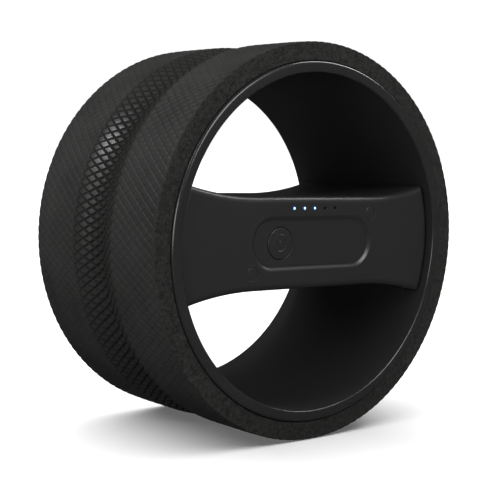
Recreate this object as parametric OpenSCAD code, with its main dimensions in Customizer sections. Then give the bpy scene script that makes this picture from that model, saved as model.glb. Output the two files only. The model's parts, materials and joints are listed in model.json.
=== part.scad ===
// Powered vibrating massage wheel: a knurled foam tread on a rigid tube, with a
// control pod that bridges the bore. Millimetres. The origin is the wheel's centre,
// +Y runs along the wheel's axis from the control side to the back, and +Z is up.

/* [Wheel] */
// Largest radius of the cushion, at its two shoulders
tread_r = 127.5; // [124:0.5:132]
// Width of the cushion between its two end faces
tread_w = 133; // [125:1:140]
// Depth of the spine groove below the shoulders
groove_depth = 6; // [3:0.5:8]
// Half the width of the spine groove
groove_half = 21.5; // [16:0.5:26]
// Outer radius of the tube, where the cushion is bonded on
tube_r = 115; // [113:0.5:117]
// Radius of the open bore
bore_r = 108; // [106:0.5:109]
// How far each tube lip stands out of the cushion's end face
lip_proud = 1.7; // [0.5:0.1:2]

/* [Pod] */
// Half the pod's height at its front face, in the middle
pod_half_h = 29.6; // [28.6:0.2:31]
// Depth of the front face behind the cushion's end face
pod_recess = 3.5; // [2.5:0.5:4]
// How much each of the pod's grip faces closes in from front to back
pod_taper = 3.2; // [2.6:0.1:3.4]
// Distance from the middle at which the flare to the tube starts
flare_start = 47; // [44:1:50]
// Radius of the flare
flare_r = 200; // [180:5:220]
// Wall thickness of the two covers
pod_wall = 2.8; // [2.6:0.1:3]

/* [Controls] */
// Half the length of the control panel's recess, at its mouth
panel_half_l = 52; // [50:0.2:53]
// Half the height of the control panel's recess, at its mouth
panel_half_h = 17.6; // [16:0.1:18]
// How far the recess's sloped sides run in to its foot
panel_slope = 3.2; // [1:0.1:4]
// Depth of the panel's surface below the pod's front face
panel_depth = 1.4; // [0.6:0.1:1.8]
// Radius of the power button
button_r = 10; // [9:0.1:10.4]
// Distance of the button to the left of the middle
button_x = 27.5; // [26:0.5:30]
// Travel of the button
button_travel = 0.8; // [0.5:0.1:0.9]
// Spacing of the five battery lights
led_pitch = 8.75; // [8:0.05:9]
// Height of the row of lights above the middle
led_z = 22.1; // [21.6:0.1:22.4]

/* [Drive] */
// Outer radius of the motor can
can_r = 18; // [17:0.1:18]
// Swing radius of the eccentric weights
weight_r = 16; // [13:0.5:16.5]
// Radius of the rotor shaft
shaft_r = 2; // [1.8:0.1:2.2]
// Radius of a battery cell
cell_r = 9.2; // [9:0.05:9.3]
// Length of a battery cell
cell_l = 65; // [64:0.5:66]

/* [Hidden] */
$fn = 96;
half_w = tread_w / 2;
lip_y = half_w + lip_proud;
shoulder_roll = 0.3;          // drop of each shoulder towards its end face
shoulder_run = 12;            // width over which a shoulder drops
lip_round = 1.4;

front_y = -half_w + pod_recess;
back_y = half_w - pod_recess;
taper_deg = atan(pod_taper / (back_y - front_y));
end_gap = 0.2;                // from the pod's ends to the bore wall
pod_end_r = bore_r - end_gap;
edge_steps = [[2.2, 0.5], [1.1, 0.8], [0.4, 1.2]];  // inset and depth of each step
seal_t = 0.6;
seal_inset = 0.4;
face_wall = 3.2;              // thickness of the front and back walls
inner_front_y = front_y + face_wall;
inner_back_y = back_y - face_wall;

overlay_t = 0.6;
overlay_gap = 0.1;
overlay_y = front_y + panel_depth;
recess_floor_y = overlay_y + overlay_t;
foot_half_l = panel_half_l - panel_slope;
foot_half_h = panel_half_h - panel_slope;
panel_mid = panel_half_l - panel_half_h;
button_gap = 0.35;
button_proud = 0.3;
button_front_y = overlay_y - button_proud;
flange_r = 11.4;
flange_t = 1.2;
flange_y = inner_front_y + 0.3;
stem_r = 2.5;
plunger_r = 1.6;
plunger_l = 2.5;
plunger_gap = 0.15;
switch_w = 6.2;
switch_h = 3.5;
stem_end_y = flange_y + flange_t + 3.3;

board_t = 1.6;
board_y = stem_end_y + plunger_l + button_travel + 1.2;
board_half_l = 43;
board_half_h = 24.2;
board_back_y = board_y + board_t;
led_hole_r = 1.15;
led_clear = 0.05;
chip_h = 1;
led_xs = [for (i = [-2:2]) i * led_pitch];
lit_count = 3;
post_r = 2.6;
post_screw_r = 1.1;
post_x = 39;
post_z = 18;
post_places = [for (x = [-post_x, post_x], z = [-post_z, post_z]) [x, z]];

plug_r = 4.4;
plug_t = 2;
boss_r = 6;
boss_places = [[-50.4, -18.4], [50.4, 18.4]];
screw_r = 1.7;
screw_head_r = 3.3;
screw_head_t = 2.8;
screw_head_y = front_y + 4.2;
screw_end_y = 14;
screw_gap = 0.05;

end_screw_r = 1.9;
end_screw_head_r = 4;
end_screw_head_t = 2.4;
end_screw_ys = [-30, 30];
end_boss_r = 5.5;
end_boss_x = 94;

can_half = 22;
can_wall = 1.5;
cap_t = 2;
bearing_r = 5;
bearing_t = 4;
bearing_gap = 0.03;
shaft_end = 45;
weight_t = 13;
weight_y = 30;
hub_r = 5;
armature_r = 12.6;
armature_half = 16;
magnet_in_r = 13.2;
magnet_half = 18;
clamp_r = 21;
clamp_t = 8;
clamp_y = 10;
clamp_pad_w = 16;
clamp_pad_z = 21.6;
isolator_t = 3;

cell_xs = [34, 53];
terminal_r = 3.2;
cell_front_y = -32;
tray_wall = 1.8;
tray_gap = 0.2;
tray_x0 = cell_xs[0] - cell_r - tray_gap - tray_wall;
tray_x1 = cell_xs[1] + cell_r + tray_gap + tray_wall;
tray_z0 = -cell_r - tray_gap - tray_wall;
tray_z1 = 4;
tray_y0 = cell_front_y - tray_gap - tray_wall;
tray_y1 = cell_front_y + cell_l + tray_gap + tray_wall;
pad_z = -24.3;

port_w = 9;
port_h = 3.2;
port_wall = 0.6;
port_l = 8;
tongue_w = 6.6;
tongue_t = 0.7;
port_z = 0;
charge_y = back_y - face_wall - 9;
charge_half_w = 15;
charge_post_x = 11;
charge_post_z = 5;
charge_z0 = -23;
charge_z1 = 9;
lead_r = 0.8;
charge_lead_z = -22.1;
charge_lead_x = 11;

// ---- helpers ----

// Extrudes a drawing of the XZ plane along Y, from y0 to y1
module along_y(y0, y1) {
    translate([0, y1, 0]) rotate([90, 0, 0]) linear_extrude(y1 - y0) children();
}

// A round bar along Y
module bar_y(r, y0, y1, x = 0, z = 0) {
    translate([x, y1, z]) rotate([90, 0, 0]) cylinder(r = r, h = y1 - y0);
}

// A round bar along X
module bar_x(r, x0, x1, y = 0, z = 0) {
    translate([x0, y, z]) rotate([0, 90, 0]) cylinder(r = r, h = x1 - x0);
}

// A box from its lowest to its highest corner
module block(low, high) {
    translate(low) cube(high - low);
}

// Turns a profile, drawn as [radius, y], about the wheel's axis
module turned() {
    rotate([-90, 0, 0]) rotate_extrude($fn = 240) children();
}

// Points of an arc about [cx, cy], from angle a0 to a1
function arc(cx, cy, r, a0, a1, n = 6) =
    [for (i = [0:n]) let (a = a0 + (a1 - a0) * i / n) [cx + r * cos(a), cy + r * sin(a)]];

// A slot-shaped outline with round ends
module stadium(half_l, half_h) {
    for (e = [-1, 1]) translate([e * (half_l - half_h), 0]) circle(r = half_h);
    square([2 * (half_l - half_h), 2 * half_h], center = true);
}

// ---- wheel ----

// Radius of the groove's surface at distance y from the middle
function groove_radius(y) = tread_r - groove_depth * (0.5 + 0.5 * cos(180 * y / groove_half));

module tread_cushion() {
    groove = [for (i = [-9:9]) let (y = groove_half * i / 9) [groove_radius(y), y]];
    color("#2b2a2c") turned() polygon(concat(
        [[tube_r, half_w], [tube_r, -half_w], [tread_r - shoulder_roll, -half_w],
         [tread_r, -half_w + shoulder_run]],
        groove,
        [[tread_r, half_w - shoulder_run], [tread_r - shoulder_roll, half_w]]));
}

module core_tube() {
    lip = concat(
        arc(tube_r - lip_round, lip_y - lip_round, lip_round, 0, 90),
        arc(bore_r + lip_round, lip_y - lip_round, lip_round, 90, 180));
    color("#222224") difference() {
        turned() polygon(concat(lip, [for (i = [len(lip) - 1:-1:0]) [lip[i][0], -lip[i][1]]]));
        for (y = end_screw_ys, s = [0, 1]) mirror([s, 0, 0]) {
            bar_x(end_screw_r + 0.3, bore_r - 2, tube_r + 1, y);
            bar_x(end_screw_head_r + 0.3, tube_r - end_screw_head_t - 0.2, tube_r + 1, y);
        }
    }
}

// ---- pod ----

// Everything beyond one of the pod's grip faces, moved in by inset
module beyond_grip(inset) {
    translate([0, front_y, pod_half_h]) rotate([-taper_deg, 0, 0]) along_y(-20, 160) {
        translate([-flare_start, -inset]) square([2 * flare_start, flare_r]);
        for (e = [-1, 1]) translate([e * flare_start, flare_r])
            circle(r = flare_r + inset, $fn = 240);
    }
}

// The pod's solid form between y0 and y1, moved in by inset all round
module pod_form(inset, y0, y1) {
    difference() {
        bar_y(pod_end_r - inset, y0, y1, $fn = 240);
        for (s = [0, 1]) mirror([0, 0, s]) beyond_grip(inset);
    }
}

// Depth of the edge steps in front of step i
function step_start(i) = i == 0 ? 0 : edge_steps[i - 1][1] + step_start(i - 1);
edge_depth = step_start(len(edge_steps));

module end_bosses(y) {
    for (s = [0, 1]) mirror([s, 0, 0]) bar_x(end_boss_r, end_boss_x, pod_end_r, y);
}

module end_boss_holes(y) {
    for (s = [0, 1]) mirror([s, 0, 0])
        bar_x(end_screw_r + screw_gap, end_boss_x - 1, pod_end_r + 1, y);
}

// The control panel's recess: sloped sides, then a straight pocket for the overlay
module panel_recess() {
    along_y(front_y - 1, front_y) stadium(panel_half_l, panel_half_h);
    for (e = [-1, 1]) translate([e * panel_mid, front_y, 0]) rotate([-90, 0, 0])
        cylinder(r1 = panel_half_h, r2 = foot_half_h, h = panel_depth);
    translate([-panel_mid, 0, 0]) rotate([90, 0, 90]) linear_extrude(2 * panel_mid)
        polygon([[front_y, panel_half_h], [overlay_y, foot_half_h],
                 [overlay_y, -foot_half_h], [front_y, -panel_half_h]]);
    along_y(overlay_y, recess_floor_y) stadium(foot_half_l, foot_half_h);
}

module pod_front_cover() {
    color("#262628") difference() {
        union() {
            for (i = [0:len(edge_steps) - 1])
                pod_form(edge_steps[i][0], front_y + step_start(i), front_y + step_start(i + 1));
            difference() {
                pod_form(0, front_y + edge_depth, -seal_t / 2);
                pod_form(pod_wall, inner_front_y, 1);
            }
            for (p = boss_places) bar_y(boss_r, inner_front_y - 1, -seal_t / 2, p[0], p[1]);
            for (p = post_places) bar_y(post_r, inner_front_y - 1, board_y, p[0], p[1]);
            intersection() {
                end_bosses(end_screw_ys[0]);
                pod_form(0.5, inner_front_y, 0);
            }
        }
        panel_recess();
        bar_y(button_r + button_gap, front_y, inner_front_y + 1, -button_x);
        for (x = led_xs) bar_y(led_hole_r + led_clear, front_y - 1, inner_front_y + 1, x, led_z);
        for (p = boss_places) {
            bar_y(plug_r + screw_gap, front_y - 1, screw_head_y + screw_head_t, p[0], p[1]);
            bar_y(screw_r + 0.2, front_y, 1, p[0], p[1]);
        }
        for (p = post_places) bar_y(post_screw_r + screw_gap, board_y - 7, board_y + 1, p[0], p[1]);
        end_boss_holes(end_screw_ys[0]);
    }
}

module pod_rear_cover() {
    color("#262628") difference() {
        union() {
            for (i = [0:len(edge_steps) - 1])
                pod_form(edge_steps[i][0], back_y - step_start(i + 1), back_y - step_start(i));
            difference() {
                pod_form(0, seal_t / 2, back_y - edge_depth);
                pod_form(pod_wall, -1, inner_back_y);
            }
            for (p = boss_places) bar_y(boss_r - 1, seal_t / 2, inner_back_y + 1, p[0], p[1]);
            for (s = [-1, 1])
                bar_y(post_r, charge_y + board_t, inner_back_y + 1, s * charge_post_x, charge_post_z);
            intersection() {
                end_bosses(end_screw_ys[1]);
                pod_form(0.5, 0, inner_back_y);
            }
        }
        for (p = boss_places) bar_y(screw_r + screw_gap, 0, screw_end_y + 4, p[0], p[1]);
        translate([0, 0, port_z]) along_y(inner_back_y - 1, back_y + 1)
            stadium(port_w / 2 + port_wall + 0.1, port_h / 2 + port_wall + 0.1);
        end_boss_holes(end_screw_ys[1]);
    }
}

module pod_seal() {
    color("#151515") difference() {
        pod_form(seal_inset, -seal_t / 2, seal_t / 2);
        pod_form(pod_wall - seal_inset, -1, 1);
        for (p = boss_places) bar_y(boss_r + 0.2, -1, 1, p[0], p[1]);
    }
}

// ---- controls ----

module panel_overlay() {
    color("#29292b") difference() {
        along_y(overlay_y, recess_floor_y)
            stadium(foot_half_l - overlay_gap, foot_half_h - overlay_gap);
        bar_y(button_r + button_gap, front_y, 0, -button_x);
    }
}

module power_button() {
    color("#2d2d2f") {
        bar_y(button_r, button_front_y, flange_y + flange_t, -button_x);
        bar_y(flange_r, flange_y, flange_y + flange_t, -button_x);
        bar_y(stem_r, flange_y, stem_end_y, -button_x);
    }
}

module switch_plunger() {
    color("#d8d4c8") bar_y(plunger_r, stem_end_y, stem_end_y + plunger_l, -button_x);
}

module tact_switch() {
    color("#1d1d1f") difference() {
        block([-button_x - switch_w / 2, board_y - switch_h, -switch_w / 2],
              [-button_x + switch_w / 2, board_y, switch_w / 2]);
        bar_y(plunger_r + plunger_gap, board_y - switch_h - 1, board_y - 0.8, -button_x);
    }
}

module led_lens(x) {
    bar_y(led_hole_r, front_y + 0.1, board_y - chip_h - 0.2, x, led_z);
}

module led_lenses_lit() {
    color("#eaf4ff") for (i = [0:lit_count - 1]) led_lens(led_xs[i]);
}

module led_lenses_unlit() {
    color("#101214") for (i = [lit_count:len(led_xs) - 1]) led_lens(led_xs[i]);
}

module led_chips() {
    color("#e8e4c8") for (x = led_xs)
        block([x - 1, board_y - chip_h, led_z - 1], [x + 1, board_y, led_z + 1]);
}

module control_board() {
    color("#1f5a36") difference() {
        block([-board_half_l, board_y, -board_half_h], [board_half_l, board_back_y, board_half_h]);
        for (p = post_places) bar_y(post_screw_r + 0.2, board_y - 1, board_back_y + 1, p[0], p[1]);
    }
}

module processor_chip() {
    color("#18181a") block([10, board_y - 1.2, -12], [20, board_y, -2]);
}

module board_parts() {
    color("#b9a27a") {
        for (x = [-10, -4, 2]) block([x, board_y - 1, 4], [x + 2, board_y, 7]);
        for (x = [26, 31]) bar_y(2, board_y - 4, board_y, x, -6);
        block([24, board_y - 2.2, 4], [33, board_y, 10]);
    }
}

// A pan-head screw along +Y, with its head in front of y and its tip at y_end
module screw_y(r, head_r, head_t, y, y_end, p) {
    bar_y(head_r, y, y + head_t, p[0], p[1]);
    bar_y(r, y, y_end, p[0], p[1]);
}

module board_screws() {
    color("#a8a8ac") for (p = post_places) {
        bar_y(post_screw_r, board_y - 6, board_back_y + 0.1, p[0], p[1]);
        bar_y(2.1, board_back_y, board_back_y + 1.3, p[0], p[1]);
    }
}

module screw_plugs() {
    plug_y = front_y + 0.1;
    color("#2a2a2c") for (p = boss_places) bar_y(plug_r, plug_y, plug_y + plug_t, p[0], p[1]);
}

module cover_screws() {
    color("#a8a8ac") for (p = boss_places)
        screw_y(screw_r, screw_head_r, screw_head_t, screw_head_y, screw_end_y, p);
}

module end_screws() {
    head_x = tube_r - end_screw_head_t - 0.1;
    color("#a8a8ac") for (y = end_screw_ys, s = [0, 1]) mirror([s, 0, 0]) {
        bar_x(end_screw_r, end_boss_x - 2, tube_r - 1, y);
        bar_x(end_screw_head_r, head_x, tube_r - 0.1, y);
    }
}

// ---- drive ----

module motor_can() {
    color("#b4b6ba") difference() {
        bar_y(can_r, -can_half, can_half);
        bar_y(can_r - can_wall, -can_half - 1, can_half + 1);
    }
}

module motor_end_caps() {
    color("#8d9095") for (s = [0, 1]) mirror([0, s, 0]) difference() {
        bar_y(can_r, can_half, can_half + cap_t);
        bar_y(bearing_r, can_half - 1, can_half + cap_t + 1);
    }
}

module motor_magnets() {
    color("#4a4a4e") for (s = [0, 1]) mirror([0, 0, s]) intersection() {
        difference() {
            bar_y(can_r - can_wall, -magnet_half, magnet_half);
            bar_y(magnet_in_r, -magnet_half - 1, magnet_half + 1);
        }
        block([-14, -magnet_half, 7], [14, magnet_half, can_r]);
    }
}

module armature() {
    color("#a5622f") difference() {
        bar_y(armature_r, -armature_half, armature_half);
        bar_y(shaft_r, -armature_half - 1, armature_half + 1);
        for (a = [0:60:300]) rotate([0, a, 0])
            block([-1, -armature_half - 1, 8], [1, armature_half + 1, 20]);
    }
}

module rotor_shaft() {
    color("#c4c6ca") bar_y(shaft_r, -shaft_end, shaft_end);
}

module bearing(y0) {
    color("#b08d57") difference() {
        bar_y(bearing_r, y0, y0 + bearing_t);
        bar_y(shaft_r + bearing_gap, y0 - 1, y0 + bearing_t + 1);
    }
}

module front_bearing() {
    bearing(-can_half - cap_t);
}

module rear_bearing() {
    bearing(can_half + cap_t - bearing_t);
}

// A half-round weight whose heavy side hangs down at rest
module weight(y0) {
    color("#7d6a3a") difference() {
        union() {
            bar_y(hub_r, y0, y0 + weight_t);
            intersection() {
                bar_y(weight_r, y0, y0 + weight_t);
                block([-weight_r, y0, -weight_r - 1], [weight_r, y0 + weight_t, 0]);
            }
        }
        bar_y(shaft_r, y0 - 1, y0 + weight_t + 1);
    }
}

module front_weight() {
    weight(-weight_y - weight_t);
}

module rear_weight() {
    weight(weight_y);
}

module motor_clamp(y0) {
    color("#55585c") difference() {
        union() {
            bar_y(clamp_r, y0, y0 + clamp_t);
            block([-clamp_pad_w / 2, y0, -clamp_pad_z], [clamp_pad_w / 2, y0 + clamp_t, clamp_pad_z]);
        }
        bar_y(can_r, y0 - 1, y0 + clamp_t + 1);
    }
}

module front_motor_clamp() {
    motor_clamp(-clamp_y - clamp_t);
}

module rear_motor_clamp() {
    motor_clamp(clamp_y);
}

module motor_isolators() {
    color("#1a1a1a") for (sy = [0, 1], sz = [0, 1]) mirror([0, sy, 0]) mirror([0, 0, sz])
        block([-clamp_pad_w / 2, clamp_y, clamp_pad_z],
              [clamp_pad_w / 2, clamp_y + clamp_t, clamp_pad_z + isolator_t]);
}

// ---- power ----

module cells() {
    color("#3e7fb5") for (x = cell_xs) {
        bar_y(cell_r, cell_front_y + 1, cell_front_y + cell_l, x);
        bar_y(terminal_r, cell_front_y, cell_front_y + 1.5, x);
    }
}

module right_battery_cells() {
    cells();
}

module left_battery_cells() {
    mirror([1, 0, 0]) cells();
}

module battery_tray() {
    color("#303236") difference() {
        block([tray_x0, tray_y0, tray_z0], [tray_x1, tray_y1, tray_z1]);
        block([tray_x0 + tray_wall, tray_y0 + tray_wall, tray_z0 + tray_wall],
              [tray_x1 - tray_wall, tray_y1 - tray_wall, tray_z1 + 1]);
    }
}

module right_battery_tray() {
    battery_tray();
}

module left_battery_tray() {
    mirror([1, 0, 0]) battery_tray();
}

module battery_pads() {
    color("#1a1a1a") for (s = [0, 1], y = [-22, 10]) mirror([s, 0, 0])
        block([tray_x0 + 1, y, pad_z], [tray_x0 + 13, y + 10, tray_z0]);
}

module battery_leads() {
    color("#b03028") for (s = [0, 1], z = [-3, 1]) mirror([s, 0, 0])
        bar_y(lead_r, board_back_y, tray_y0, 38, z);
}

module motor_leads() {
    color("#b03028") for (x = [-4, 4])
        bar_y(lead_r, board_back_y, -clamp_y - clamp_t, x, can_r + 1.2);
}

module charge_port() {
    outer_half = port_w / 2 + port_wall;
    color("#b8babd") translate([0, 0, port_z]) difference() {
        along_y(charge_y + board_t, charge_y + board_t + port_l + 2)
            stadium(outer_half, port_h / 2 + port_wall);
        along_y(charge_y + board_t + 2, back_y) difference() {
            stadium(port_w / 2, port_h / 2);
            square([tongue_w, tongue_t], center = true);
        }
    }
}

module charge_board() {
    color("#1f5a36") block([-charge_half_w, charge_y, charge_z0],
                           [charge_half_w, charge_y + board_t, charge_z1]);
}

module charge_leads() {
    color("#b03028") for (s = [-1, 1])
        bar_y(lead_r, board_back_y, charge_y, s * charge_lead_x, charge_lead_z);
}

tread_cushion();
core_tube();
pod_front_cover();
pod_rear_cover();
pod_seal();
panel_overlay();
power_button();
switch_plunger();
tact_switch();
led_lenses_lit();
led_lenses_unlit();
led_chips();
control_board();
processor_chip();
board_parts();
board_screws();
screw_plugs();
cover_screws();
end_screws();
motor_can();
motor_end_caps();
motor_magnets();
armature();
rotor_shaft();
front_bearing();
rear_bearing();
front_weight();
rear_weight();
front_motor_clamp();
rear_motor_clamp();
motor_isolators();
left_battery_cells();
right_battery_cells();
left_battery_tray();
right_battery_tray();
battery_pads();
battery_leads();
motor_leads();
charge_port();
charge_board();
charge_leads();
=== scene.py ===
import json
import math

import bmesh
import bpy
from mathutils import Matrix, Vector


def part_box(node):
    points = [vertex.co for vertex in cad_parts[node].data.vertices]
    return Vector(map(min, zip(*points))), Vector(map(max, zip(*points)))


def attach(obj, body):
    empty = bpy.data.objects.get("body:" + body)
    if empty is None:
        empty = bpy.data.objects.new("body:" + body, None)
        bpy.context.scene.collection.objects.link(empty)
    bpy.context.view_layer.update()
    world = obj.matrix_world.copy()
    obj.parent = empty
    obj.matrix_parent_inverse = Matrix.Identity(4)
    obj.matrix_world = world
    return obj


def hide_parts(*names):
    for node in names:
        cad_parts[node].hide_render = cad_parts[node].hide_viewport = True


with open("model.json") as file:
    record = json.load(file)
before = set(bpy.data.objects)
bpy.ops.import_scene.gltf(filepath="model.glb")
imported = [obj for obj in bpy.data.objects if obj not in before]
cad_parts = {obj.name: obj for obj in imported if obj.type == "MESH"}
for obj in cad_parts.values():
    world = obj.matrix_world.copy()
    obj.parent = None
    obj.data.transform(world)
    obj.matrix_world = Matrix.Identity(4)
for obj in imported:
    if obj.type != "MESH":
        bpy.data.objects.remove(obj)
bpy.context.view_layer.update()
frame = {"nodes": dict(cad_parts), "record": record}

MM = 0.001

# ---- driving dimensions, in millimetres, in the wheel's own frame ----

TREAD_R = 127.5
TREAD_HALF = 66.5
GROOVE_DEPTH = 6.0
GROOVE_HALF = 21.5
SHOULDER_ROLL = 0.3
SHOULDER_RUN = 12.0
TUBE_R = 115.0
BORE_R = 108.0
LIP_Y = 68.2
LIP_OUTER_ROUND = 1.8
LIP_INNER_ROUND = 1.1
TREAD_EDGE = 0.5            # bevel of the tread's outer edges
SEAM_MOUTH = 0.7            # from the tube to the foam, at the mouth of the seam round the lip
SEAM_GAP = 0.45             # the same, inside the seam
SEAM_EASE = 0.3             # depth over which the mouth narrows
SEAM_DEPTH = 1.6
BOND_GAP = 0.05             # keeps the foam's bonded face off the tube's

KNURLS_ROUND = 135          # diamonds round the tread
KNURL_LENGTH = 8.7          # length of a diamond along the axis
KNURL_DEPTH = 0.3          # on the shoulders
KNURL_EXTRA = 0.9           # added in the groove
CUT_HALF = 0.13             # half width of a knurl's cut, as a share of a diamond
CUT_EXTRA = 0.1             # added in the groove

FRONT_Y = -63.0
BACK_Y = 63.0
POD_HALF_H = 29.6
POD_TAPER = 3.2
FLARE_START = 47.0
FLARE_R = 200.0
POD_END_R = 107.8
POD_WALL = 2.8
FACE_WALL = 3.2
FRONT_EDGE = 4.2            # radius of the pod's front edge
BACK_EDGE = 1.4             # radius of its back edge
COVER_GAP_HALF = 0.3        # half of the gap between the covers, which the gasket fills

PANEL_HALF_L = 52.0
PANEL_HALF_H = 17.6
PANEL_SLOPE = 3.2
PANEL_DEPTH = 1.4
OVERLAY_T = 0.6
OVERLAY_GAP = 0.1
PANEL_Y = FRONT_Y + PANEL_DEPTH
BUTTON_X = -27.5
BUTTON_R = 10.0
BUTTON_GAP = 0.35
BUTTON_PROUD = 0.3
FLANGE_R = 11.4             # the button's flange, behind the front wall
FLANGE_T = 1.2
FLANGE_GAP = 0.3
STEM_R = 2.5
MARK_RELIEF = 0.25          # height of the button's ring and dot, and width of their slopes
LED_PITCH = 8.75
LED_Z = 22.1
LED_R = 1.15
LED_BRIGHT = 0.45           # share of a lit lens's radius that is bright
LED_DOME = 0.35
LED_HOLE_FLARE = 0.25
LIT_COUNT = 3
PLUG_R = 4.4
PLUG_T = 2.0
PLUG_HOLE = 2.4
PLUG_HOLE_FLARE = 0.2
INSET = 0.1                 # of the lenses and plugs below the face
FIT = 0.05                  # clearance round the lenses and plugs
PLUG_PLACES = [(-50.4, -18.4), (50.4, 18.4)]
SOCKET_HALF_L = 5.2
SOCKET_HALF_H = 2.3
SOCKET_CHAMFER = 0.4

CAMERA_AZIMUTH = -39.61
CAMERA_ELEVATION = 5.41
CAMERA_DISTANCE = 792.0
CAMERA_LENS = 83.52
AIM = (-0.83, 0.5, -9.97)      # the point that the picture's middle looks at
WHEEL_ROLL = 2.2            # the wheel stands rolled by this much about its axis

# ---- light, in Blender's own units ----

ROOM_STRENGTH = 0.03
BACKDROP_STRENGTH = 1.05    # what the camera sees past the floor
FLOOR_GLOW = 0.12
FLOOR_REACH = 30            # metres from the middle to each side of the floor

# ---- how surfaces vary ----

FINE_SHARE = 0.6            # share of the fine grain in the variation; blotches are the rest
NOISE_LOW = 0.3             # the variation runs between these two noise values
NOISE_HIGH = 0.7
WAVE_PHASE = 20             # radians of phase per metre in a wave texture of scale 1


# ---- camera, light and floor ----

def towards(azimuth, elevation):
    a = math.radians(azimuth)
    e = math.radians(elevation)
    return Vector((math.sin(a) * math.cos(e), -math.cos(a) * math.cos(e), math.sin(e)))


def looking(place, target):
    turn = (target - place).to_track_quat("-Z", "Y").to_matrix().to_4x4()
    return Matrix.Translation(place) @ turn


def make_camera():
    data = bpy.data.cameras.new("camera")
    data.sensor_width = 36
    data.lens = CAMERA_LENS
    camera = bpy.data.objects.new("camera", data)
    bpy.context.scene.collection.objects.link(camera)
    place = towards(CAMERA_AZIMUTH, CAMERA_ELEVATION) * CAMERA_DISTANCE * MM
    level = looking(place, Vector(AIM) * MM)
    camera.matrix_world = Matrix.Rotation(-math.radians(WHEEL_ROLL), 4, "Y") @ level
    bpy.context.scene.camera = camera


def softbox(name, direction, distance, width, height, power, spared):
    """A softbox aimed at the wheel. It lights all but what the spared collection excludes."""
    data = bpy.data.lights.new(name, "AREA")
    data.shape = "RECTANGLE"
    data.size = width
    data.size_y = height
    data.energy = power
    lamp = bpy.data.objects.new(name, data)
    bpy.context.scene.collection.objects.link(lamp)
    place = Vector(direction).normalized() * distance
    lamp.matrix_world = looking(place, Vector((0, 0, 0)))
    lamp.light_linking.receiver_collection = spared


def broad_sky(name, direction, strength, spread):
    """An even soft light over everything, which leaves no highlights. spread is in degrees."""
    data = bpy.data.lights.new(name, "SUN")
    data.energy = strength
    data.angle = math.radians(spread)
    lamp = bpy.data.objects.new(name, data)
    bpy.context.scene.collection.objects.link(lamp)
    lamp.matrix_world = looking(Vector(direction), Vector((0, 0, 0)))
    lamp.visible_glossy = False


def make_studio():
    scene = bpy.context.scene
    scene.view_settings.view_transform = "Standard"
    world = bpy.data.worlds.new("studio")
    world.use_nodes = True
    scene.world = world
    tree = world.node_tree
    room = tree.nodes["Background"]
    room.inputs["Color"].default_value = (1, 1, 1, 1)
    room.inputs["Strength"].default_value = ROOM_STRENGTH
    backdrop = tree.nodes.new("ShaderNodeBackground")
    backdrop.inputs["Color"].default_value = (1, 1, 1, 1)
    backdrop.inputs["Strength"].default_value = BACKDROP_STRENGTH
    rays = tree.nodes.new("ShaderNodeLightPath")
    mix = tree.nodes.new("ShaderNodeMixShader")
    tree.links.new(rays.outputs["Is Camera Ray"], mix.inputs["Fac"])
    tree.links.new(room.outputs[0], mix.inputs[1])
    tree.links.new(backdrop.outputs[0], mix.inputs[2])
    tree.links.new(mix.outputs[0], tree.nodes["World Output"].inputs["Surface"])

    mesh = bpy.data.meshes.new("floor")
    level = -TREAD_R * MM
    corners = [(x * FLOOR_REACH, y * FLOOR_REACH, level)
               for x, y in ((-1, -1), (1, -1), (1, 1), (-1, 1))]
    mesh.from_pydata(corners, [], [(0, 1, 2, 3)])
    floor = bpy.data.objects.new("floor", mesh)
    bpy.context.scene.collection.objects.link(floor)
    mesh.materials.append(surface("floor_white", (0.93, 0.93, 0.93), 0.9, specular=0.0,
                                  grain=40, relief=0, mottle=0.0))
    glow = floor.data.materials[0].node_tree.nodes["Principled BSDF"]
    glow.inputs["Emission Color"].default_value = (1, 1, 1, 1)
    glow.inputs["Emission Strength"].default_value = FLOOR_GLOW
    floor.visible_glossy = False

    spared = bpy.data.collections.new("spared_by_softboxes")
    spared.objects.link(floor)
    spared.collection_objects[0].light_linking.link_state = "EXCLUDE"
    broad_sky("overhead", direction=(-0.08, 0.2, 1), strength=5.0, spread=110)
    for name, direction, distance, width, height, power in (
            ("front_high", (0.06, -0.82, 0.55), 1.5, 0.75, 0.85, 15),
            ("right_high", (0.66, -0.09, 0.7), 1.5, 0.35, 0.9, 12),
            ("left_high", (-0.74, 0.1, 0.66), 1.3, 0.4, 0.3, 9),
            ("left_fill", (-0.9, -0.25, 0.14), 1.6, 1.0, 0.6, 11)):
        softbox(name, direction, distance, width, height, power, spared)


# ---- materials ----

def node(tree, kind, **values):
    made = tree.nodes.new(kind)
    for key, value in values.items():
        made.inputs[key.replace("_", " ").title()].default_value = value
    return made


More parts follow.
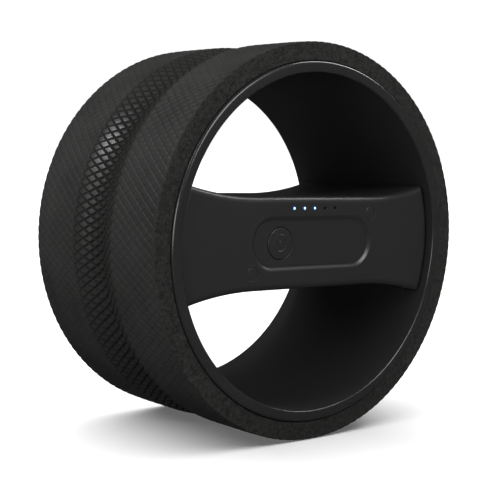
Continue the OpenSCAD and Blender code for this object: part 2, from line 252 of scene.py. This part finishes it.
def surface(name, colour, roughness, metallic=0.0, specular=0.5, grain=900.0, relief=0.02,
            mottle=0.12, spread=0.06, blotch=25.0):
    """A material whose colour, roughness and relief vary with fine grain and slow blotches.
    grain and blotch are features per metre, and relief is in millimetres."""
    material = bpy.data.materials.new(name)
    material.use_nodes = True
    tree = material.node_tree
    shader = tree.nodes["Principled BSDF"]
    shader.inputs["Metallic"].default_value = metallic
    shader.inputs["Specular IOR Level"].default_value = specular
    coords = tree.nodes.new("ShaderNodeTexCoord")
    fine = node(tree, "ShaderNodeTexNoise", scale=grain, detail=4.0, roughness=0.6)
    slow = node(tree, "ShaderNodeTexNoise", scale=blotch, detail=3.0, roughness=0.5)
    for texture in (fine, slow):
        tree.links.new(coords.outputs["Object"], texture.inputs["Vector"])
    blend = tree.nodes.new("ShaderNodeMath")
    blend.operation = "MULTIPLY_ADD"
    blend.inputs[1].default_value = FINE_SHARE
    tree.links.new(fine.outputs["Fac"], blend.inputs[0])
    share = tree.nodes.new("ShaderNodeMath")
    share.operation = "MULTIPLY"
    share.inputs[1].default_value = 1 - FINE_SHARE
    tree.links.new(slow.outputs["Fac"], share.inputs[0])
    tree.links.new(share.outputs[0], blend.inputs[2])
    ramp = tree.nodes.new("ShaderNodeValToRGB")
    ramp.color_ramp.elements[0].position = NOISE_LOW
    ramp.color_ramp.elements[1].position = NOISE_HIGH
    ramp.color_ramp.elements[0].color = [c * (1 - mottle) for c in colour] + [1]
    ramp.color_ramp.elements[1].color = [min(c * (1 + mottle), 1) for c in colour] + [1]
    tree.links.new(blend.outputs[0], ramp.inputs["Fac"])
    tree.links.new(ramp.outputs["Color"], shader.inputs["Base Color"])
    rough = tree.nodes.new("ShaderNodeMapRange")
    rough.inputs["From Min"].default_value = NOISE_LOW
    rough.inputs["From Max"].default_value = NOISE_HIGH
    rough.inputs["To Min"].default_value = max(roughness - spread, 0.02)
    rough.inputs["To Max"].default_value = min(roughness + spread, 1)
    tree.links.new(blend.outputs[0], rough.inputs["Value"])
    tree.links.new(rough.outputs["Result"], shader.inputs["Roughness"])
    if relief:
        bump = tree.nodes.new("ShaderNodeBump")
        bump.inputs["Distance"].default_value = relief * MM
        tree.links.new(fine.outputs["Fac"], bump.inputs["Height"])
        tree.links.new(bump.outputs["Normal"], shader.inputs["Normal"])
    return material


def glowing(name, colour, strength):
    """A glowing moulded lens."""
    material = surface(name, colour, 0.25, grain=2500, relief=0.004, mottle=0.05)
    shader = material.node_tree.nodes["Principled BSDF"]
    shader.inputs["Emission Color"].default_value = (*colour, 1)
    shader.inputs["Emission Strength"].default_value = strength
    return material


def striped(name, first, second, roughness, metallic, phase_per_metre):
    """Fine stripes across Y, such as wound wire or machined rings. One stripe is 2 pi of phase."""
    material = surface(name, first, roughness, metallic, grain=600, relief=0)
    tree = material.node_tree
    shader = tree.nodes["Principled BSDF"]
    wave = tree.nodes.new("ShaderNodeTexWave")
    wave.bands_direction = "Y"
    wave.inputs["Scale"].default_value = phase_per_metre / WAVE_PHASE
    wave.inputs["Distortion"].default_value = 0.4
    tree.links.new(tree.nodes["Texture Coordinate"].outputs["Object"], wave.inputs["Vector"])
    ramp = tree.nodes.new("ShaderNodeValToRGB")
    ramp.color_ramp.elements[0].color = (*second, 1)
    ramp.color_ramp.elements[1].color = (*first, 1)
    tree.links.new(wave.outputs["Fac"], ramp.inputs["Fac"])
    tree.links.new(ramp.outputs["Color"], shader.inputs["Base Color"])
    bump = tree.nodes.new("ShaderNodeBump")
    bump.inputs["Distance"].default_value = 0.1 * MM
    tree.links.new(wave.outputs["Fac"], bump.inputs["Height"])
    tree.links.new(bump.outputs["Normal"], shader.inputs["Normal"])
    return material


def make_materials():
    black = (0.0118, 0.0118, 0.012)
    return {
        "tread_foam": surface("tread_foam", (0.0108, 0.0106, 0.0102), 0.38, specular=0.4,
                              grain=1400, relief=0.04, mottle=0.35, spread=0.12),
        "tread_shoulder": surface("tread_shoulder", (0.0112, 0.011, 0.0107), 0.55, specular=0.28,
                                  grain=1400, relief=0.04, mottle=0.4, spread=0.12),
        # The groove's cuts are painted about half as dark as the rubber, which is painted shade in
        # the creases; they are also rougher and less glossy.
        "tread_cut_shade": surface("tread_cut_shade", (0.006, 0.0058, 0.0056), 0.75, specular=0.12,
                              grain=1400, relief=0.04, mottle=0.3),
        "foam_end": surface("foam_end", (0.0113, 0.0112, 0.0107), 0.8, specular=0.12,
                            grain=800, relief=0.5, mottle=0.9, blotch=350),
        "tube_plastic": surface("tube_plastic", black, 0.24, specular=0.5, grain=2200, relief=0.006),
        "bore_wall": surface("bore_wall", (0.0105, 0.0105, 0.0107), 0.5, specular=0.3, grain=2200,
                             relief=0.01),
        "cover_plastic": surface("cover_plastic", black, 0.34, specular=0.5, grain=2600,
                                 relief=0.003, mottle=0.06, spread=0.03),
        "seal_rubber": surface("seal_rubber", (0.008, 0.008, 0.008), 0.8, specular=0.2, relief=0.03),
        "overlay_silicone": surface("overlay_silicone", black, 0.36, specular=0.45, grain=3000,
                                    relief=0.006, mottle=0.06, spread=0.03),
        "button_plastic": surface("button_plastic", black, 0.36, specular=0.45, grain=2600,
                                  relief=0.006, mottle=0.06, spread=0.03),
        "switch_parts": surface("switch_parts", (0.62, 0.58, 0.5), 0.5, grain=1500),
        "chip_plastic": surface("chip_plastic", (0.015, 0.015, 0.016), 0.6, grain=4000, relief=0.01),
        "led_lit": glowing("led_lit", (0.6, 0.85, 1.0), 2.2),
        "led_edge": glowing("led_edge", (0.03, 0.18, 0.5), 0.8),
        "led_unlit": surface("led_unlit", (0.0015, 0.0017, 0.002), 0.6, specular=0.1, grain=2500,
                             relief=0.004),
        "led_chip": surface("led_chip", (0.75, 0.7, 0.5), 0.4, grain=3000),
        "board_laminate": surface("board_laminate", (0.015, 0.1, 0.035), 0.4, grain=350,
                                  relief=0.03, mottle=0.35, blotch=120),
        "board_parts": surface("board_parts", (0.42, 0.34, 0.22), 0.45, metallic=0.3, grain=1500),
        "screw_steel": striped("screw_steel", (0.55, 0.55, 0.57), (0.3, 0.3, 0.32), 0.3, 1.0, 1400),
        "plug_plastic": surface("plug_plastic", black, 0.34, specular=0.5, grain=2600,
                                relief=0.008, mottle=0.06, spread=0.03),
        "motor_steel": striped("motor_steel", (0.52, 0.53, 0.55), (0.42, 0.43, 0.45), 0.32, 1.0, 900),
        "motor_alloy": surface("motor_alloy", (0.4, 0.41, 0.43), 0.45, metallic=1.0, grain=1200),
        "magnet": surface("magnet", (0.06, 0.06, 0.065), 0.6, metallic=0.4, grain=1800, relief=0.03),
        "armature_winding": striped("armature_winding", (0.62, 0.26, 0.1), (0.2, 0.07, 0.03),
                                    0.35, 0.9, 2200),
        "shaft_steel": surface("shaft_steel", (0.6, 0.6, 0.62), 0.2, metallic=1.0, grain=3000),
        "bearing_bronze": surface("bearing_bronze", (0.5, 0.33, 0.14), 0.4, metallic=1.0,
                                  grain=2500, relief=0.03),
        "weight_brass": surface("weight_brass", (0.45, 0.34, 0.13), 0.38, metallic=1.0, grain=900),
        "clamp_alloy": surface("clamp_alloy", (0.14, 0.145, 0.155), 0.5, metallic=0.8, grain=1500,
                               relief=0.04),
        "battery_wrap": surface("battery_wrap", (0.05, 0.2, 0.42), 0.35, grain=400, mottle=0.08),
        "tray_plastic": surface("tray_plastic", (0.03, 0.032, 0.037), 0.55, grain=1800),
        "lead_insulation": surface("lead_insulation", (0.42, 0.03, 0.02), 0.45, grain=2000),
        "port_steel": surface("port_steel", (0.55, 0.56, 0.58), 0.25, metallic=1.0, grain=2500),
    }


# ---- mesh helpers, in millimetres ----

def piece(name, points, faces, finish, sharp=30):
    mesh = bpy.data.meshes.new(name)
    mesh.from_pydata([Vector(p) * MM for p in points], [], faces)
    mesh.update()
    made = bpy.data.objects.new(name, mesh)
    bpy.context.scene.collection.objects.link(made)
    mesh.materials.append(finish)
    tidy(made, sharp)
    return made


def tidy(made, sharp=30):
    """Points every face outwards and shades it smooth up to the sharp angle."""
    form = bmesh.new()
    form.from_mesh(made.data)
    bmesh.ops.remove_doubles(form, verts=form.verts, dist=1e-7)
    bmesh.ops.recalc_face_normals(form, faces=form.faces)
    form.to_mesh(made.data)
    form.free()
    made.data.shade_smooth()
    made.data.set_sharp_from_angle(angle=math.radians(sharp))


def flatten(made, y):
    """Shades the flat faces at that y flat, so that they don't pick up their edges' shading."""
    for face in made.data.polygons:
        if abs(face.center.y - y * MM) < 1e-6 and abs(face.normal.y) > 0.9999:
            face.use_smooth = False


def turned(name, profile, finish, x=0.0, z=0.0, around=96, ring=False, sharp=30):
    """Turns a profile of (radius, y) about an axis along Y. A ring's profile closes on itself."""
    points = []
    faces = []
    rows = []
    for radius, y in profile:
        if radius < 1e-6:
            rows.append([len(points)] * around)
            points.append((x, y, z))
            continue
        rows.append([len(points) + i for i in range(around)])
        for i in range(around):
            a = 2 * math.pi * i / around
            points.append((x + radius * math.cos(a), y, z + radius * math.sin(a)))
    if ring:
        rows.append(rows[0])
    for low, high in zip(rows, rows[1:]):
        for i in range(around):
            j = (i + 1) % around
            corners = [low[i], low[j], high[j], high[i]]
            face = [c for k, c in enumerate(corners) if c not in corners[:k]]
            if len(face) > 2:
                faces.append(face)
    return piece(name, points, faces, finish, sharp)


def lofted(name, rings, finish, sharp=30):
    """Joins outlines that have the same number of points, and closes both ends."""
    count = len(rings[0])
    points = [p for ring in rings for p in ring]
    faces = []
    for k in range(len(rings) - 1):
        for i in range(count):
            j = (i + 1) % count
            faces.append([k * count + i, k * count + j, (k + 1) * count + j, (k + 1) * count + i])
    faces.append(list(range(count)))
    faces.append([(len(rings) - 1) * count + i for i in range(count)])
    return piece(name, points, faces, finish, sharp)


def carve(made, *tools, sharp=30):
    """Cuts the tools out of a piece, and takes the tools away."""
    for tool in tools:
        cut = made.modifiers.new("cut", "BOOLEAN")
        cut.object = tool
        cut.solver = "EXACT"
    evaluated = made.evaluated_get(bpy.context.evaluated_depsgraph_get())
    mesh = bpy.data.meshes.new_from_object(evaluated)
    made.modifiers.clear()
    made.data = mesh
    for tool in tools:
        bpy.data.objects.remove(tool)
    tidy(made, sharp)


def rounded(radius_at_edge, y_at_face, into, size, steps=6):
    """Profile points of a quarter round, from the face to the side. into is +1 or -1 along Y."""
    points = []
    for i in range(steps + 1):
        a = math.pi / 2 * i / steps
        points.append((radius_at_edge - size + size * math.sin(a),
                       y_at_face + into * size * (1 - math.cos(a))))
    return points


def stadium(half_l, half_h, y, arc=32):
    points = []
    for side in (1, -1):
        for i in range(arc + 1):
            a = side * math.pi / 2 - math.pi * i / arc
            points.append((side * (half_l - half_h) + half_h * math.cos(a), y, half_h * math.sin(a)))
    return points


# ---- the wheel ----

def in_groove(y):
    """1 in the middle of the groove, easing to 0 at its edges."""
    return 0.5 + 0.5 * math.cos(math.pi * min(abs(y) / GROOVE_HALF, 1))


def tread_radius(y):
    """The radius that the tops of the diamonds reach at distance y from the middle."""
    past = max(abs(y) - (TREAD_HALF - SHOULDER_RUN), 0) / SHOULDER_RUN
    return TREAD_R - GROOVE_DEPTH * in_groove(y) - SHOULDER_ROLL * past


def make_tread(rubber, end_foam, cuts, shoulder):
    """A grid that follows the two sets of helical cuts, four steps to a diamond."""
    depths = [1, 0.12, 0, 0.12]             # of each step, from the cut's floor to the top
    steps = len(depths)
    around = KNURLS_ROUND * steps
    cut_y = TREAD_HALF - TREAD_EDGE
    reach = math.ceil(2 * cut_y / KNURL_LENGTH) * steps + steps
    in_rubber, in_foam, in_cut_shade, in_shoulder = range(4)

    def lattice(index, cut):
        return index // steps + [0, cut, 0.5, 1 - cut][index % steps]

    form = bmesh.new()
    rows = {}
    for t in range(-reach, reach + 1):
        row = []
        for a in range(around):
            near_y = (lattice(a, CUT_HALF) - lattice(a - t, CUT_HALF)) / 2 * KNURL_LENGTH
            half = CUT_HALF + CUT_EXTRA * in_groove(near_y)
            u = lattice(a, half)
            v = lattice(a - t, half)
            turn = math.pi * (u + v) / KNURLS_ROUND
            y = (u - v) / 2 * KNURL_LENGTH
            cut = 1 - (1 - depths[a % steps]) * (1 - depths[(a - t) % steps])
            r = tread_radius(y) - (KNURL_DEPTH + KNURL_EXTRA * in_groove(y)) * cut
            row.append(form.verts.new(Vector((r * math.cos(turn), y, r * math.sin(turn))) * MM))
        rows[t] = row
    for t in range(-reach + 1, reach):
        for a in range(around):
            b = (a + 1) % around
            made = form.faces.new((rows[t][a], rows[t + 1][b], rows[t][b], rows[t - 1][a]))
            top = a % steps in (1, 2) and (a - t) % steps in (1, 2)
            middle = sum(abs(v.co.y) for v in made.verts) / 4
            if middle > GROOVE_HALF * MM:
                made.material_index = in_shoulder
            else:
                # In the groove the cuts take the darker finish of painted shade; on the shoulders
                # they keep the shoulder's finish.
                made.material_index = in_rubber if top else in_cut_shade
    for side in (-1, 1):
        bmesh.ops.bisect_plane(form, geom=form.verts[:] + form.edges[:] + form.faces[:], dist=1e-8,
                               plane_co=(0, side * cut_y * MM, 0), plane_no=(0, side, 0),
                               clear_outer=True)
    inner = []
    for side in (-1, 1):
        rim = {v for e in form.edges if e.is_boundary for v in e.verts
               if abs(v.co.y - side * cut_y * MM) < 1e-6}
        ring = sorted(rim, key=lambda v: math.atan2(v.co.z, v.co.x))
        for target_r, y in ((None, TREAD_HALF), (TUBE_R + SEAM_MOUTH, TREAD_HALF),
                            (TUBE_R + SEAM_GAP, TREAD_HALF - SEAM_EASE),
                            (TUBE_R + SEAM_GAP, TREAD_HALF - SEAM_DEPTH),
                            (TUBE_R + BOND_GAP, TREAD_HALF - SEAM_DEPTH)):
            new = []
            for v in ring:
                r = math.hypot(v.co.x, v.co.z)
                scale = target_r * MM / r if target_r else (r - TREAD_EDGE * MM) / r
                new.append(form.verts.new((v.co.x * scale, side * y * MM, v.co.z * scale)))
            for i in range(len(ring)):
                j = (i + 1) % len(ring)
                face = form.faces.new((ring[i], ring[j], new[j], new[i]))
                face.material_index = in_foam
            ring = new
        inner.append(ring)
    front, back = inner
    for i in range(len(front)):
        j = (i + 1) % len(front)
        form.faces.new((front[i], front[j], back[j], back[i])).material_index = in_foam
    bmesh.ops.recalc_face_normals(form, faces=form.faces)
    mesh = bpy.data.meshes.new("knurled_tread")
    form.to_mesh(mesh)
    form.free()
    for finish in (rubber, end_foam, cuts, shoulder):
        mesh.materials.append(finish)
    mesh.shade_smooth()
    mesh.set_sharp_from_angle(angle=math.radians(20))
    tread = bpy.data.objects.new("knurled_tread", mesh)
    bpy.context.scene.collection.objects.link(tread)
    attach(tread, "wheel")
    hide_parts("tread_cushion")


def make_tube(plastic, bore_wall):
    """One closed profile: the bore wall, a lip at each end, and the bonded outer wall. The lips'
    faces have the plastic's gloss, and the walls between them are duller."""
    steps = 8                               # of each quarter round, and of each half wall
    lip = []
    for centre_r, size, start in ((BORE_R + LIP_INNER_ROUND, LIP_INNER_ROUND, 180),
                                  (TUBE_R - LIP_OUTER_ROUND, LIP_OUTER_ROUND, 90)):
        for i in range(steps + 1):
            a = math.radians(start - 90 * i / steps)
            lip.append((centre_r + size * math.cos(a), LIP_Y - size + size * math.sin(a)))
    wall = [TREAD_HALF * k / steps for k in range(steps - 1, -steps, -1)]
    outside = [(TUBE_R, y) for y in wall]
    inside = [(BORE_R, y) for y in reversed(wall)]
    back_lip = [(r, -y) for r, y in reversed(lip)]
    tube = turned("bore_tube", lip + outside + back_lip + inside, plastic, around=384, ring=True)
    tube.data.materials.append(bore_wall)
    for face in tube.data.polygons:
        if abs(face.center.y) < (LIP_Y - LIP_INNER_ROUND) * MM:
            face.material_index = 1
    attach(tube, "wheel")
    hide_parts("core_tube")


# ---- the pod ----

def pod_section(y, inset, across=120, end=28):
    """The pod's outline at y, moved in by inset: two flared grip faces and two ends on the bore.
    across and end are the numbers of points on each of them."""
    half_h = POD_HALF_H - POD_TAPER * (y - FRONT_Y) / (BACK_Y - FRONT_Y)
    end_r = POD_END_R - inset

    def grip(x):
        out = max(abs(x) - FLARE_START, 0)
        return half_h + FLARE_R - math.sqrt((FLARE_R + inset) ** 2 - out ** 2)

    low, high = FLARE_START, end_r
    for _ in range(50):                     # halves the range until the grip meets the end
        corner = (low + high) / 2
        if math.hypot(corner, grip(corner)) < end_r:
            low = corner
        else:
            high = corner
    angle = math.atan2(grip(corner), corner)
    points = []
    for side in (1, -1):
        for i in range(across):
            x = side * corner * (1 - 2 * i / across)
            points.append((x, y, side * grip(x)))
        for i in range(end):
            a = math.pi - angle + 2 * angle * i / end
            points.append((side * end_r * math.cos(a), y, side * end_r * math.sin(a)))
    return points


def pod_half(name, face_y, seam_y, edge, finish):
    """Half of the pod's shell, with a rounded edge at its face and open at the seam."""
    into = 1 if seam_y > face_y else -1
    steps = 8
    rings = []
    for i in range(steps + 1):
        a = math.pi / 2 * i / steps
        rings.append(pod_section(face_y + into * edge * (1 - math.cos(a)), edge * (1 - math.sin(a))))
    start = face_y + into * edge
    for i in range(1, steps + 1):
        rings.append(pod_section(start + (seam_y - start) * i / steps, 0))
    shell = lofted(name, rings, finish)
    floor_y = face_y + into * FACE_WALL
    hollow = [pod_section(floor_y, POD_WALL), pod_section(seam_y + into, POD_WALL)]
    cavity = lofted("cavity", hollow, finish)
    return shell, cavity


def recess_tool(finish):
    """The panel's recess: soft sloped sides, then a straight pocket for the overlay."""
    steps = 10
    rings = [stadium(PANEL_HALF_L, PANEL_HALF_H, FRONT_Y - 1)]
    for i in range(steps + 1):
        t = i / steps
        drop = PANEL_DEPTH * (1 - math.cos(math.pi * t)) / 2
        inset = PANEL_SLOPE * t
        rings.append(stadium(PANEL_HALF_L - inset, PANEL_HALF_H - inset, FRONT_Y + drop))
    rings.append(stadium(PANEL_HALF_L - PANEL_SLOPE, PANEL_HALF_H - PANEL_SLOPE, PANEL_Y + OVERLAY_T))
    return lofted("recess", rings, finish)


def hole_tool(radius, y0, y1, finish, x, z=0.0, flare=0.0):
    """A round hole from y0 to y1, whose mouth at y0 is eased by flare."""
    profile = [(0, y0 - 1), (radius + flare, y0 - 1), (radius + flare, y0)]
    if flare:
        steps = 5
        for i in range(1, steps + 1):
            a = math.pi / 2 * i / steps
            profile.append((radius + flare * (1 - math.sin(a)), y0 + flare * (1 - math.cos(a))))
    profile += [(radius, y1), (0, y1)]
    return turned("hole", profile, finish, x, z, around=72)


def led_places():
    """The x of each of the five lights, of which the third is in the middle."""
    return [(k - 2) * LED_PITCH for k in range(5)]


def make_covers(plastic):
    front, cavity = pod_half("front_cover", FRONT_Y, -COVER_GAP_HALF, FRONT_EDGE, plastic)
    inside_y = FRONT_Y + FACE_WALL + 1
    tools = [cavity, recess_tool(plastic)]
    tools.append(hole_tool(BUTTON_R + BUTTON_GAP, PANEL_Y, inside_y, plastic, BUTTON_X))
    for x in led_places():
        tools.append(hole_tool(LED_R + FIT, FRONT_Y, inside_y, plastic, x, LED_Z, LED_HOLE_FLARE))
    for x, z in PLUG_PLACES:
        tools.append(hole_tool(PLUG_R + FIT, FRONT_Y, FRONT_Y + PLUG_HOLE, plastic, x, z,
                               PLUG_HOLE_FLARE))
    carve(front, *tools)
    flatten(front, FRONT_Y)

    rear, cavity = pod_half("rear_cover", BACK_Y, COVER_GAP_HALF, BACK_EDGE, plastic)
    rings = [stadium(SOCKET_HALF_L + out, SOCKET_HALF_H + out, y)
             for out, y in ((0, BACK_Y - FACE_WALL - 1), (0, BACK_Y - SOCKET_CHAMFER),
                            (SOCKET_CHAMFER, BACK_Y), (SOCKET_CHAMFER, BACK_Y + 1))]
    socket = lofted("socket", rings, plastic)
    carve(rear, cavity, socket)
    flatten(rear, BACK_Y)
    for cover, stands_for in ((front, "pod_front_cover"), (rear, "pod_rear_cover")):
        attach(cover, "wheel")
        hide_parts(stands_for)


def make_panel(silicone):
    half_l = PANEL_HALF_L - PANEL_SLOPE - OVERLAY_GAP
    half_h = PANEL_HALF_H - PANEL_SLOPE - OVERLAY_GAP
    chamfer = 0.08
    rings = [stadium(half_l, half_h, PANEL_Y + OVERLAY_T), stadium(half_l, half_h, PANEL_Y + chamfer),
             stadium(half_l - chamfer, half_h - chamfer, PANEL_Y)]
    panel = lofted("control_panel", rings, silicone)
    carve(panel, hole_tool(BUTTON_R + BUTTON_GAP, PANEL_Y, PANEL_Y + OVERLAY_T + 1, silicone,
                           BUTTON_X, flare=0.35))
    flatten(panel, PANEL_Y)
    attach(panel, "wheel")
    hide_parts("panel_overlay")


def make_button(plastic):
    """A cap with a raised ring and dot, on the flange and stem that press the switch."""
    stem_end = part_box("power_button")[1].y / MM
    cap_y = PANEL_Y - BUTTON_PROUD
    flange_y = FRONT_Y + FACE_WALL + FLANGE_GAP
    raised = cap_y - MARK_RELIEF
    dot_r, ring_in, ring_out, ease = 1.5, 4.7, 5.7, MARK_RELIEF
    profile = [(0, raised), (dot_r - ease, raised), (dot_r, cap_y), (ring_in, cap_y),
               (ring_in + ease, raised), (ring_out - ease, raised), (ring_out, cap_y)]
    profile += rounded(BUTTON_R, cap_y, 1, 0.5)
    profile += [(BUTTON_R, flange_y), (FLANGE_R, flange_y), (FLANGE_R, flange_y + FLANGE_T),
                (STEM_R, flange_y + FLANGE_T), (STEM_R, stem_end), (0, stem_end)]
    button = turned("button_cap", profile, plastic, BUTTON_X)
    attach(button, "button")
    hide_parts("power_button")


def joined(name, parts):
    """Makes one piece of several."""
    form = bmesh.new()
    for part in parts:
        form.from_mesh(part.data)
    form.to_mesh(parts[0].data)
    form.free()
    parts[0].name = name
    for part in parts[1:]:
        bpy.data.objects.remove(part)
    return parts[0]


def make_lights_and_plugs(finishes):
    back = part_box("led_lenses_lit")[1].y / MM
    face_y = FRONT_Y + INSET
    dome = [(LED_R * math.sin(a), face_y + LED_DOME * (1 - math.cos(a)))
            for a in (math.pi / 2 * i / 6 for i in range(7))]
    for name, places, stands_for, slot in (
            ("lit_lenses", led_places()[:LIT_COUNT], "led_lenses_lit", "led_lit"),
            ("unlit_lenses", led_places()[LIT_COUNT:], "led_lenses_unlit", "led_unlit")):
        profile = dome + [(LED_R, back), (0, back)]
        lenses = joined(name, [turned(name, profile, finishes[slot], x, LED_Z, 32) for x in places])
        if slot == "led_lit":
            lenses.data.materials.append(finishes["led_edge"])
            for face in lenses.data.polygons:
                off = min(math.hypot(face.center.x - x * MM, face.center.z - LED_Z * MM)
                          for x in places)
                if off > LED_BRIGHT * LED_R * MM:
                    face.material_index = 1
        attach(lenses, "wheel")
        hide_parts(stands_for)
    profile = [(0, face_y)] + rounded(PLUG_R, face_y, 1, 0.3)
    profile += [(PLUG_R, face_y + PLUG_T), (0, face_y + PLUG_T)]
    plugs = joined("round_plugs", [turned("plug", profile, finishes["plug_plastic"], x, z, 72)
                                   for x, z in PLUG_PLACES])
    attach(plugs, "wheel")
    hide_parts("screw_plugs")


def finish_cad_nodes(finishes):
    """Gives every carried-over CAD node the finish of its slot."""
    for part in frame["record"]["subparts"]:
        made = frame["nodes"][part["node"]]
        made.data.materials.clear()
        made.data.materials.append(finishes[part["material_slot"]])


make_camera()
finishes = make_materials()
make_studio()
finish_cad_nodes(finishes)
make_tread(finishes["tread_foam"], finishes["foam_end"], finishes["tread_cut_shade"],
           finishes["tread_shoulder"])
make_tube(finishes["tube_plastic"], finishes["bore_wall"])
make_covers(finishes["cover_plastic"])
make_panel(finishes["overlay_silicone"])
make_button(finishes["button_plastic"])
make_lights_and_plugs(finishes)
